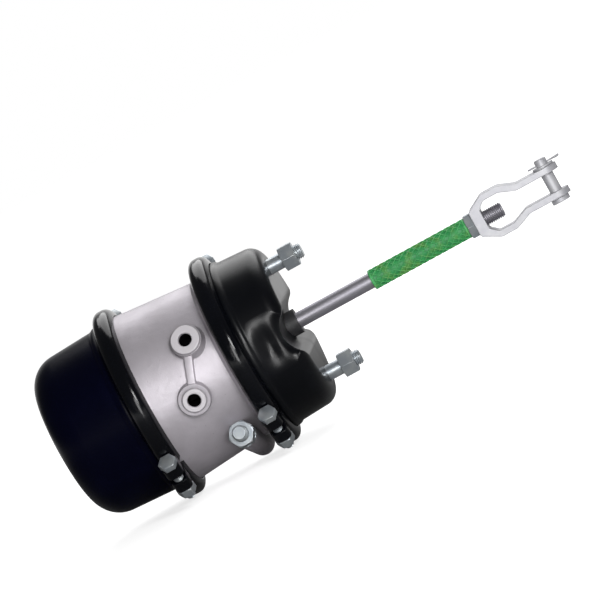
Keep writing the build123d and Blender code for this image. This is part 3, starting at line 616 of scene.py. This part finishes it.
class StageSizes(bpy.types.PropertyGroup):
    """Camera, lamps and floor."""

    azimuth: FloatProperty(name="Azimuth", description="Camera direction round the part", default=math.radians(6.2),
                           subtype="ANGLE")
    elevation: FloatProperty(name="Elevation", description="Camera height above the horizon",
                             default=math.radians(4.5), subtype="ANGLE")
    roll: FloatProperty(name="Roll", description="Turn of the camera about its own axis", default=math.radians(29.2),
                        subtype="ANGLE")
    distance: FloatProperty(name="Distance", description="Camera distance from its target", default=6.0,
                            unit="LENGTH")
    lens: FloatProperty(name="Lens", description="Focal length on a 36 mm sensor", default=363.0)
    target: FloatVectorProperty(name="Target", description="Point in the middle of the picture",
                                default=(0.011, 0.0, 0.017), subtype="TRANSLATION")
    ambient: FloatProperty(name="Ambient", description="Strength of the even light from all round", default=0.2)
    shade: FloatProperty(name="Studio shade", description="What glossy surfaces see of the dim studio", default=0.1)
    backdrop: FloatProperty(name="Backdrop", description="What glossy surfaces see straight behind the part",
                            default=1.0)
    floor_glow: FloatVectorProperty(name="Floor glow", description="White that the floor gives off, near and far",
                                    size=2, default=(0.72, 0.9))
    key: FloatVectorProperty(name="Key lamp", description="Azimuth and elevation of the key lamp", size=2,
                             unit="ROTATION", default=(math.radians(24.0), math.radians(16.0)))
    key_power: FloatProperty(name="Key power", description="Power of the key lamp", default=12.0, unit="POWER")
    key_width: FloatProperty(name="Key width", description="Width of the key lamp", default=0.45, unit="LENGTH")
    fill: FloatVectorProperty(name="Fill lamp", description="Azimuth and elevation of the fill lamp", size=2,
                              unit="ROTATION", default=(math.radians(3.0), math.radians(5.0)))
    fill_power: FloatProperty(name="Fill power", description="Power of the fill lamp", default=8.0, unit="POWER")
    fill_width: FloatProperty(name="Fill width", description="Width of the fill lamp", default=0.6, unit="LENGTH")
    back: FloatVectorProperty(name="Back lamp", description="Azimuth and elevation of the back lamp", size=2,
                              unit="ROTATION", default=(math.radians(165.0), math.radians(46.0)))
    back_power: FloatProperty(name="Back power", description="Power of the back lamp", default=16.0, unit="POWER")
    back_width: FloatProperty(name="Back width", description="Width of the back lamp", default=1.6, unit="LENGTH")
    lamp_distance: FloatProperty(name="Lamp distance", description="Distance of the lamps from the target",
                                 default=1.6, unit="LENGTH")


# Operators


class OBJECT_OT_brake_housings(bpy.types.Operator):
    """Enamel on both pressed housings and rubber for the dust plug"""

    bl_idname = "object.brake_housings"
    bl_label = "Housings"

    def execute(self, context):
        dress("front_housing", "dust_plug", "stud_plates")
        cover("spring_housing", finish_for("satin_paint"))
        return {"FINISHED"}


class OBJECT_OT_brake_clamps(bpy.types.Operator):
    """Clamp bands with their threaded bolts and nuts"""

    bl_idname = "object.brake_clamps"
    bl_label = "Clamp bands"

    def execute(self, context):
        sizes = context.scene.brake_clamp
        for end, angle in (("front", sizes.front_angle), ("rear", sizes.rear_angle)):
            dress(f"{end}_clamp_upper_half", f"{end}_clamp_lower_half", f"{end}_clamp_nuts")
            plane = middle(f"{end}_clamp_upper_half").x
            bm = bmesh.new()
            length = 2 * sizes.lug_outer + sizes.tail
            thread(bm, sizes.lug_outer, length, sizes.radius, sizes.pitch, sizes.pitch)
            lathe(bm, [(0, 0), (0, sizes.radius), (sizes.lug_outer, sizes.radius), (sizes.lug_outer, 0)])
            hexagon_head(bm, -sizes.head, sizes.head, sizes.spanner)
            way = -rim_tangent(angle)
            places = []
            for side in (1, -1):
                centre = Vector((plane, 0, 0)) + side * sizes.bolt_reach * rim_way(angle)
                places.append(along(centre - way * sizes.lug_outer, way))
            repeat(bm, places)
            bolts = add_piece(f"{end}_threaded_bolts", bm, "zinc_steel", [f"{end}_clamp_bolts"])
            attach(bolts, "chamber")
        return {"FINISHED"}


class OBJECT_OT_brake_case(bpy.types.Operator):
    """Cast flange case with threaded air ports and the rib between them, and the bush and seals in its web"""

    bl_idname = "object.brake_case"
    bl_label = "Flange case"

    def execute(self, context):
        sizes = context.scene.brake_port
        dress("flange_case", "rod_bush", "rod_seals")
        for name in ports:
            self.port_thread(name, mounts[name], sizes.pitch)
        self.port_rib(sizes)
        return {"FINISHED"}

    @staticmethod
    def port_thread(name, mount, pitch):
        """Helical ridge inside a port."""
        bore = mount["dims"]["r_mm"] / 1000
        ridge = [(0.1, bore + 0.2 * pitch), (0.5, bore - 0.5 * pitch), (0.9, bore + 0.2 * pitch)]
        turns = math.floor(mount["dims"]["length_mm"] / 1000 / pitch) - 1
        bm = bmesh.new()
        verts = [bm.verts.new((share * pitch, 0.0, radius)) for share, radius in ridge]
        bmesh.ops.spin(bm, geom=[*verts, bm.faces.new(verts)], cent=(0, 0, 0), axis=(1, 0, 0),
                       dvec=(pitch / HELIX_STEPS, 0, 0), angle=math.tau * turns, steps=HELIX_STEPS * turns,
                       use_merge=False)
        repeat(bm, [along(mount["pos_m"], -Vector(mount["axis"]))])
        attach(add_piece(f"{name}_thread", bm, "cast_aluminium"), "chamber")

    @staticmethod
    def port_rib(sizes):
        """Raised rib that follows the wall from one port to the other."""
        first, last = (Vector(mounts[name]["pos_m"]) for name in reversed(ports))
        start, end = (math.atan2(place.z, -place.y) for place in (first, last))
        top = math.hypot(first.y, first.z) - sizes.rib_drop
        half, soft = sizes.rib_width / 2, sizes.rib_rounding
        turns = [math.radians(90) * count / 4 for count in range(5)]
        edge = [(half - soft + soft * math.sin(turn), top - soft + soft * math.cos(turn)) for turn in turns]
        right = edge + [(half, top - sizes.rib_depth)]
        outline = [(-x, radius) for x, radius in reversed(right)] + right
        bm = bmesh.new()
        verts = [bm.verts.new(Vector((first.x + x, 0, 0)) + radius * rim_way(start)) for x, radius in outline]
        steps = ROUND_STEPS // 4
        bmesh.ops.spin(bm, geom=[*verts, bm.faces.new(verts)], cent=(0, 0, 0), axis=(-1, 0, 0), angle=end - start,
                       dvec=((last.x - first.x) / steps, 0, 0), steps=steps, use_merge=False)
        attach(add_piece("raised_port_rib", bm, "cast_aluminium"), "chamber")


class OBJECT_OT_brake_release(bpy.types.Operator):
    """Release bolt in its tube, with a threaded tail, a washer and a nut"""

    bl_idname = "object.brake_release"
    bl_label = "Release bolt"

    def execute(self, context):
        sizes = context.scene.brake_thread
        dress("release_washer", "release_nut")
        way = rim_tangent(sizes.release_angle)
        nut = middle("release_nut")
        washer = middle("release_washer")
        half = (nut - washer).length
        low, high = (Vector(corner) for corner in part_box("release_bolt"))
        radius = (high.x - low.x) / 2
        length = ((high - low).y - 2 * radius * abs(way.z)) / abs(way.y)
        tip = half + sizes.release_tail
        bm = bmesh.new()
        thread(bm, -half, tip, radius, sizes.pitch, sizes.chamfer)
        lathe(bm, [(tip - length, 0), (tip - length, radius), (-half, radius), (-half, 0)])
        repeat(bm, [along(nut, way)])
        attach(add_piece("threaded_release_bolt", bm, "zinc_steel", ["release_bolt"]), "chamber")
        return {"FINISHED"}


class OBJECT_OT_brake_studs(bpy.types.Operator):
    """Mounting studs with threads, and their nuts"""

    bl_idname = "object.brake_studs"
    bl_label = "Mounting studs"

    def execute(self, context):
        sizes = context.scene.brake_thread
        dress("mounting_nuts")
        start, tip = extent("mounting_studs")
        seat = extent("mounting_nuts")[0]
        radius = mounts["mounting_studs"]["dims"]["stud_r_mm"] / 1000
        spacing = mounts["mounting_studs"]["dims"]["spacing_y_mm"] / 1000
        bm = bmesh.new()
        thread(bm, seat, tip, radius, sizes.pitch, sizes.chamfer)
        head = start + sizes.stud_head_height
        lathe(bm, [(start, 0), (start, sizes.stud_head), (head, sizes.stud_head), (head, radius), (seat, radius),
                   (seat, 0)])
        repeat(bm, [Matrix.Translation((0, 0, side * spacing / 2)) for side in (-1, 1)])
        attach(add_piece("threaded_studs", bm, "zinc_steel", ["mounting_studs"]), "chamber")
        return {"FINISHED"}


class OBJECT_OT_brake_rod(bpy.types.Operator):
    """Push rod with its threaded end, the lock nut and the guide"""

    bl_idname = "object.brake_rod"
    bl_label = "Push rod"

    def execute(self, context):
        sizes = context.scene.brake_thread
        dress("lock_nut", "rod_guide")
        start, tip = extent("push_rod")
        radius = half_height("push_rod")
        cut = extent("lock_nut")[0] - sizes.rod_run
        bm = bmesh.new()
        thread(bm, cut, tip, radius, sizes.pitch, sizes.chamfer)
        lathe(bm, [(start, 0), (start, radius), (cut, radius), (cut, 0)])
        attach(add_piece("threaded_push_rod", bm, "rod_steel", ["push_rod"]), "push_rod")
        return {"FINISHED"}


class OBJECT_OT_brake_sleeve(bpy.types.Operator):
    """Green net sleeve: strands wound both ways over a thin film, with a welded hem at each end"""

    bl_idname = "object.brake_sleeve"
    bl_label = "Net sleeve"

    def execute(self, context):
        sizes = context.scene.brake_sleeve
        start, end = extent("rod_sleeve")
        outer = half_height("rod_sleeve")
        rod = half_height("push_rod")
        # The strands sink a fifth of their thickness into the film
        film = outer - 0.8 * sizes.strand
        bm = bmesh.new()
        lathe(bm, [(start, rod), (start, film), (end, film), (end, rod), (start, rod)])
        base = add_piece("sleeve_film", bm, "green_mesh", material=finish_for("sleeve_film"))
        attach(base, "push_rod")
        bm = bmesh.new()
        turns = (end - start - sizes.hem) / sizes.lead
        steps = math.ceil(HELIX_STEPS * turns)
        for way in (1, -1):
            for count in range(sizes.strands):
                turn = Matrix.Rotation(math.tau * count / sizes.strands, 4, "X")
                place = turn @ Matrix.Translation((start + sizes.hem / 2, 0, outer - sizes.strand / 2))
                ring = bmesh.ops.create_circle(bm, cap_ends=True, segments=8, radius=sizes.strand / 2,
                                               matrix=place @ Matrix.Rotation(math.radians(90), 4, "X"))["verts"]
                bmesh.ops.spin(bm, geom=[*ring, ring[0].link_faces[0]], cent=(0, 0, 0), axis=(1, 0, 0),
                               dvec=((end - start - sizes.hem) / steps, 0, 0), angle=way * math.tau * turns,
                               steps=steps, use_merge=False)
        soft = sizes.hem / 4
        for low in (start, end - sizes.hem):
            high = low + sizes.hem
            lathe(bm, [(low, rod), (low, outer - soft), (low + soft, outer), (high - soft, outer),
                       (high, outer - soft), (high, rod), (low, rod)])
        net = add_piece("sleeve_net", bm, "green_mesh", ["rod_sleeve"])
        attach(net, "push_rod")
        return {"FINISHED"}


class OBJECT_OT_brake_yoke(bpy.types.Operator):
    """Yoke, clevis pin and washer, and a split cotter with an eye and two bent legs"""

    bl_idname = "object.brake_yoke"
    bl_label = "Yoke and pin"

    def execute(self, context):
        sizes = context.scene.brake_cotter
        dress("clevis", "clevis_pin", "pin_washer")
        pin = middle("clevis_pin")
        height = middle("cotter_pin").z
        reach = half_height("cotter_pin") + (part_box("clevis_pin")[1][0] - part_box("clevis_pin")[0][0]) / 3
        side = 1.05 * sizes.wire
        spread = 0.7 * sizes.leg
        # One half of the wire, from the tip of its bent leg along the pin's hole and round to the eye's far end
        half = [(reach + sizes.leg, spread), (reach + 0.45 * sizes.leg, 0.45 * spread), (reach, side), (0, side),
                (-reach, side), (-reach - 0.5 * sizes.eye, sizes.eye), (-reach - 1.6 * sizes.eye, 1.15 * sizes.eye),
                (-reach - 2.2 * sizes.eye, 0.5 * sizes.eye)]
        route = half + [(x, -y) for x, y in reversed(half)]
        curve = bpy.data.curves.new("cotter_route", "CURVE")
        curve.dimensions = "3D"
        curve.bevel_depth = sizes.wire
        curve.bevel_resolution = 3
        curve.use_fill_caps = True
        spline = curve.splines.new("NURBS")
        spline.points.add(len(route) - 1)
        for point, (x, y) in zip(spline.points, route):
            point.co = (pin.x + x, y, height, 1.0)
        spline.order_u = 4
        spline.use_endpoint_u = True
        holder = bpy.data.objects.new("cotter_route", curve)
        context.scene.collection.objects.link(holder)
        bm = bmesh.new()
        bm.from_mesh(bpy.data.meshes.new_from_object(holder.evaluated_get(context.evaluated_depsgraph_get())))
        bpy.data.objects.remove(holder)
        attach(add_piece("split_cotter", bm, "bright_zinc", ["cotter_pin"]), "clevis_pin")
        return {"FINISHED"}


class OBJECT_OT_brake_springs(bpy.types.Operator):
    """Power spring and return spring with closed ends"""

    bl_idname = "object.brake_springs"
    bl_label = "Springs"

    def execute(self, context):
        sizes = context.scene.brake_spring
        coils = (("power_spring", sizes.power_wire, sizes.power_turns, sizes.power_taper, "spring_piston", 1),
                 ("service_return_spring", sizes.return_wire, sizes.return_turns, sizes.return_taper, "push_rod", -1))
        for node, wire, turns, taper, body, way in coils:
            start, end = extent(node)
            wide = half_height(node) - wire / 2
            bm = bmesh.new()
            self.wind(bm, (start, end), wire, turns, (wide - taper, wide), sizes.closed)
            coil = add_piece(f"{node}_coil", bm, "spring_steel", [node])
            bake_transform(coil)
        return {"FINISHED"}

    @staticmethod
    def wind(bm, span, wire, turns, radii, closed):
        """Coil of round wire along X whose first and last turns lie flat, wider towards its end."""
        start, end = span
        place = Matrix.Translation((start + wire / 2, 0, radii[0])) @ Matrix.Rotation(math.radians(90), 4, "X")
        ring = bmesh.ops.create_circle(bm, cap_ends=False, segments=14, radius=wire / 2, matrix=place)["verts"]
        geom = ring + list({edge for vert in ring for edge in vert.link_edges})
        flat = 0.25 * wire
        rise = end - start - wire - 2 * flat
        for share, climb in ((closed, flat), (turns, rise), (closed, flat)):
            steps = math.ceil(ROUND_STEPS / 2 * share)
            spun = bmesh.ops.spin(bm, geom=geom, cent=(0, 0, 0), axis=(1, 0, 0), dvec=(climb / steps, 0, 0),
                                  angle=math.tau * share, steps=steps, use_merge=False)
            geom = spun["geom_last"]
        fill_ends(bm)
        for vert in bm.verts:
            radius = math.hypot(vert.co.y, vert.co.z)
            share = (vert.co.x - start) / (end - start)
            vert.co.yz = vert.co.yz * (1 + (radii[1] - radii[0]) * share / radius)


class OBJECT_OT_brake_diaphragms(bpy.types.Operator):
    """Rubber diaphragms and the plates that they press"""

    bl_idname = "object.brake_diaphragms"
    bl_label = "Diaphragms and plates"

    def execute(self, context):
        sizes = context.scene.brake_rubber
        dress("pressure_plate", "adapter_rod", "adapter_plate", "adapter_screw", "push_plate")
        joints = (("service_diaphragm", "front", "push_plate", "push_rod"),
                  ("emergency_diaphragm", "rear", "pressure_plate", "spring_piston"))
        for node, end, plate, body in joints:
            plane = middle(f"{end}_clamp_upper_half").x
            rim = half_height(node)
            flat = half_height(plate)
            station = extent(node)[1] - sizes.thickness / 2
            inner = rim - sizes.bead_depth
            roll = [(share, share * share * (3 - 2 * share)) for share in (count / 12 for count in range(13))]
            path = [(plane + (station - plane) * lift, inner + (flat - inner) * share) for share, lift in roll]
            bm = bmesh.new()
            lathe(bm, path + [(station, 0.0)])
            bmesh.ops.remove_doubles(bm, verts=bm.verts, dist=MERGE_DISTANCE)
            bmesh.ops.recalc_face_normals(bm, faces=bm.faces)
            bmesh.ops.solidify(bm, geom=bm.faces[:], thickness=sizes.thickness)
            bead = sizes.bead / 2
            lathe(bm, [(plane - bead, inner), (plane - bead, rim), (plane + bead, rim), (plane + bead, inner),
                       (plane - bead, inner)])
            sheet = add_piece(f"{node}_sheet", bm, "black_rubber", [node])
            way = 1 if station > plane else -1
            plane + way * sizes.bead
            station - way * sizes.thickness
            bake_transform(sheet)
        return {"FINISHED"}


class OBJECT_OT_brake_stage(bpy.types.Operator):
    """Camera, soft lamps, white surroundings and a pale floor"""

    bl_idname = "object.brake_stage"
    bl_label = "Stage"

    def execute(self, context):
        sizes = context.scene.brake_stage
        self.camera(context, sizes)
        self.world(context, sizes)
        target = Vector(sizes.target)
        for name in ("key", "fill", "back"):
            way = self.toward(*getattr(sizes, name))
            power, width = getattr(sizes, f"{name}_power"), getattr(sizes, f"{name}_width")
            self.lamp(context, name, target + way * sizes.lamp_distance, way, power, width)
        self.floor(context, sizes)
        context.scene.view_settings.view_transform = "Standard"
        return {"FINISHED"}

    @staticmethod
    def toward(azimuth, elevation):
        """Direction from the part to a point seen at an azimuth and an elevation."""
        flat = math.cos(elevation)
        return Vector((math.sin(azimuth) * flat, -math.cos(azimuth) * flat, math.sin(elevation)))

    def camera(self, context, sizes):
        back = self.toward(sizes.azimuth, sizes.elevation)
        camera = bpy.data.objects.new("camera", bpy.data.cameras.new("camera"))
        context.scene.collection.objects.link(camera)
        camera.data.lens = sizes.lens
        camera.location = Vector(sizes.target) + back * sizes.distance
        turn = (-back).to_track_quat("-Z", "Y") @ Matrix.Rotation(-sizes.roll, 3, "Z").to_quaternion()
        camera.rotation_mode = "QUATERNION"
        camera.rotation_quaternion = turn
        context.scene.camera = camera

    def world(self, context, sizes):
        """White to the camera; glossy surfaces see white behind the part and a dim studio in front of it."""
        world = bpy.data.worlds.new("studio")
        context.scene.world = world
        world.use_nodes = True
        sheet = NodeSheet(world.node_tree)
        camera = sheet.node("ShaderNodeLightPath", output="Is Camera Ray")
        clear = sheet.node("ShaderNodeLightPath", output="Is Transmission Ray")
        glossy = sheet.node("ShaderNodeLightPath", output="Is Glossy Ray")
        behind = -self.toward(sizes.azimuth, sizes.elevation)
        away = sheet.dot(sheet.node("ShaderNodeTexCoord", output="Generated"), behind)
        studio = sizes.shade + (sizes.backdrop - sizes.shade) * sheet.step(away, 0.8, 0.99)
        seen = sheet.largest(camera, clear)
        strength = seen + glossy * studio + (1 - sheet.largest(seen, glossy)) * sizes.ambient
        background = world.node_tree.nodes["Background"]
        background.inputs["Color"].default_value = (1, 1, 1, 1)
        sheet.feed(background.inputs["Strength"], strength)

    def lamp(self, context, name, place, way, power, width):
        light = bpy.data.lights.new(name, "AREA")
        light.shape = "DISK"
        light.size = width
        light.energy = power
        lamp = bpy.data.objects.new(name, light)
        context.scene.collection.objects.link(lamp)
        lamp.location = place
        lamp.rotation_euler = way.to_track_quat("Z", "Y").to_euler()
        lamp.visible_camera = False

    def floor(self, context, sizes):
        """Pale floor under the lowest point; part of its white glows, and glossy surfaces see it bright far off."""
        bm = bmesh.new()
        bmesh.ops.create_grid(bm, x_segments=1, y_segments=1, size=FLOOR_SIZE,
                              matrix=Matrix.Translation((0, 0, cad_low[2] - 0.001)))
        mesh = bpy.data.meshes.new("floor")
        bm.to_mesh(mesh)
        bm.free()
        floor = bpy.data.objects.new("floor", mesh)
        context.scene.collection.objects.link(floor)
        finish = Finish("pale_floor", Roughness=0.9, Specular_IOR_Level=0.0)
        camera = finish.node("ShaderNodeLightPath", output="Is Camera Ray")
        glossy = finish.node("ShaderNodeLightPath", output="Is Glossy Ray")
        pale = finish.mix(finish.noise(3.0), (0.78, 0.78, 0.78), (0.82, 0.82, 0.82))
        finish.set("Base Color", finish.mix(glossy, pale, (0.3, 0.3, 0.3)))
        near, far = sizes.floor_glow
        away = finish.length(finish.place)
        level = near + (far - near) * finish.step(away, 0.3, 3.0)
        strength = camera * level + glossy * finish.step(away, 0.5, 2.0) * sizes.backdrop
        glow = finish.node("ShaderNodeEmission", inputs={"Strength": strength})
        both = finish.node("ShaderNodeAddShader", inputs={0: Wire(finish, finish.shader.outputs[0]), 1: glow})
        finish.feed(finish.tree.nodes["Material Output"].inputs["Surface"], both)
        mesh.materials.append(finish.material)


class VIEW3D_PT_brake_chamber(bpy.types.Panel):
    """Lists the operators that dress the chamber"""

    bl_label = "Brake chamber"
    bl_idname = "VIEW3D_PT_brake_chamber"
    bl_space_type = "VIEW_3D"
    bl_region_type = "UI"
    bl_category = "Brake chamber"

    def draw(self, context):
        for operator in operators:
            self.layout.operator(operator.bl_idname)


settings = {
    "brake_finish": FinishSizes,
    "brake_clamp": ClampSizes,
    "brake_thread": ThreadSizes,
    "brake_port": PortSizes,
    "brake_sleeve": SleeveSizes,
    "brake_spring": SpringSizes,
    "brake_rubber": RubberSizes,
    "brake_cotter": CotterSizes,
    "brake_stage": StageSizes,
}
operators = (
    OBJECT_OT_brake_housings,
    OBJECT_OT_brake_clamps,
    OBJECT_OT_brake_case,
    OBJECT_OT_brake_release,
    OBJECT_OT_brake_studs,
    OBJECT_OT_brake_rod,
    OBJECT_OT_brake_sleeve,
    OBJECT_OT_brake_yoke,
    OBJECT_OT_brake_springs,
    OBJECT_OT_brake_diaphragms,
    OBJECT_OT_brake_stage,
)


def register():
    for cls in (*settings.values(), *operators, VIEW3D_PT_brake_chamber):
        bpy.utils.register_class(cls)
    for name, cls in settings.items():
        setattr(bpy.types.Scene, name, PointerProperty(type=cls))


def unregister():
    for name in settings:
        delattr(bpy.types.Scene, name)
    for cls in (VIEW3D_PT_brake_chamber, *reversed(operators), *reversed(settings.values())):
        bpy.utils.unregister_class(cls)


def main():
    register()
    bpy.ops.object.brake_housings()
    bpy.ops.object.brake_clamps()
    bpy.ops.object.brake_case()
    bpy.ops.object.brake_release()
    bpy.ops.object.brake_studs()
    bpy.ops.object.brake_rod()
    bpy.ops.object.brake_sleeve()
    bpy.ops.object.brake_yoke()
    bpy.ops.object.brake_springs()
    bpy.ops.object.brake_diaphragms()
    bpy.ops.object.brake_stage()


if __name__ == "__main__":
    main()
